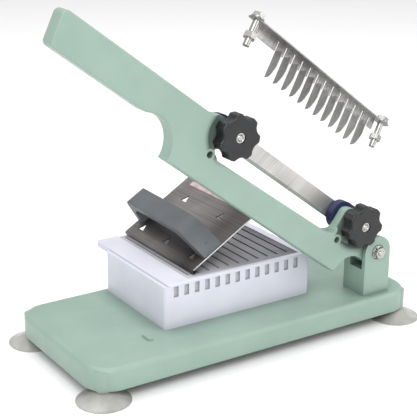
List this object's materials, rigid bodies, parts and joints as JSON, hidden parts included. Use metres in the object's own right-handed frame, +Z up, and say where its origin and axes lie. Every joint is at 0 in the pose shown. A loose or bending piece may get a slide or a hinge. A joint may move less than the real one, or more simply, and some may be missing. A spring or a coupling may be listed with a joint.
{
  "type": "vegetable dicer",
  "caption": "Bench-top slicer-dicer: hinged lever with a strip blade over a slotted tray, with a spiked food holder, a loose comb and a suction-cup base.",
  "frame": {"origin": "on the table, under the middle of the whole object's box, at the plane of the four suction-cup rims", "axes": "+X along the base towards the hinge post, +Y from the blade side towards the back of the tray, +Z up"},
  "size_m": [0.3986, 0.2005, 0.3436],
  "materials": {
    "sage_plastic": "smooth moulded plastic, sage green",
    "white_plastic": "smooth moulded plastic, cool white",
    "clear_vinyl": "translucent soft vinyl",
    "black_plastic": "fine satin moulded plastic",
    "navy_plastic": "satin moulded plastic, dark blue",
    "grey_plastic": "satin moulded plastic, mid grey",
    "blade_steel": "ground stainless strip",
    "sheet_steel": "bright rolled stainless sheet",
    "bolt_steel": "bright plated steel",
    "bush_nylon": "plain nylon"
  },
  "bodies": {
    "base": {"base_shell": "sage_plastic", "suction_cup_front_left": "clear_vinyl", "suction_cup_back_left": "clear_vinyl", "suction_cup_front_right": "clear_vinyl", "suction_cup_back_right": "clear_vinyl", "feed_tray": "white_plastic", "tray_screws": "bolt_steel", "hinge_bolt": "bolt_steel", "hinge_washer": "bolt_steel", "hinge_nut": "bolt_steel"},
    "arm": {"arm": "sage_plastic", "hinge_bush": "bush_nylon", "blade": "blade_steel", "blade_pad_upper": "navy_plastic", "blade_pad_lower": "navy_plastic", "clamp_stud_upper": "bolt_steel", "clamp_stud_lower": "bolt_steel", "knob_washers": "bolt_steel"},
    "upper_knob": {"star_knob_upper": "black_plastic", "knob_insert_upper": "bolt_steel"},
    "lower_knob": {"star_knob_lower": "black_plastic", "knob_insert_lower": "bolt_steel"},
    "holder": {"holder_plate": "sheet_steel", "holder_handle": "grey_plastic", "holder_screws": "bolt_steel"},
    "comb": {"comb_rail": "blade_steel", "comb_tooth_01": "blade_steel", "comb_tooth_02": "blade_steel", "comb_tooth_03": "blade_steel", "comb_tooth_04": "blade_steel", "comb_tooth_05": "blade_steel", "comb_tooth_06": "blade_steel", "comb_tooth_07": "blade_steel", "comb_tooth_08": "blade_steel", "comb_tooth_09": "blade_steel", "comb_tooth_10": "blade_steel", "comb_tooth_11": "blade_steel", "comb_tooth_12": "blade_steel", "comb_bolts": "bolt_steel", "comb_washers": "bolt_steel", "comb_nuts": "bolt_steel"}
  },
  "joints": [
    {"name": "arm_swing", "type": "hinge", "parent": "base", "child": "arm", "pos_m": [0.1458, -0.0652, 0.077], "axis": [0, 1, 0], "range_deg": [-37, 50]},
    {"name": "upper_knob_turn", "type": "hinge", "parent": "arm", "child": "upper_knob", "pos_m": [-0.02615, -0.0782, 0.22035], "axis": [0, 1, 0], "continuous": true},
    {"name": "lower_knob_turn", "type": "hinge", "parent": "arm", "child": "lower_knob", "pos_m": [0.12347, -0.0782, 0.10885], "axis": [0, 1, 0], "continuous": true},
    {"name": "holder_slide", "type": "slide", "parent": "base", "child": "holder", "axis": [0, 1, 0], "range_m": [-0.006, 0.045]},
    {"name": "comb_lift", "type": "slide", "parent": "arm", "child": "comb", "axis": [-0.6018, 0, -0.7986], "range_m": [0, 0.026]}
  ]
}
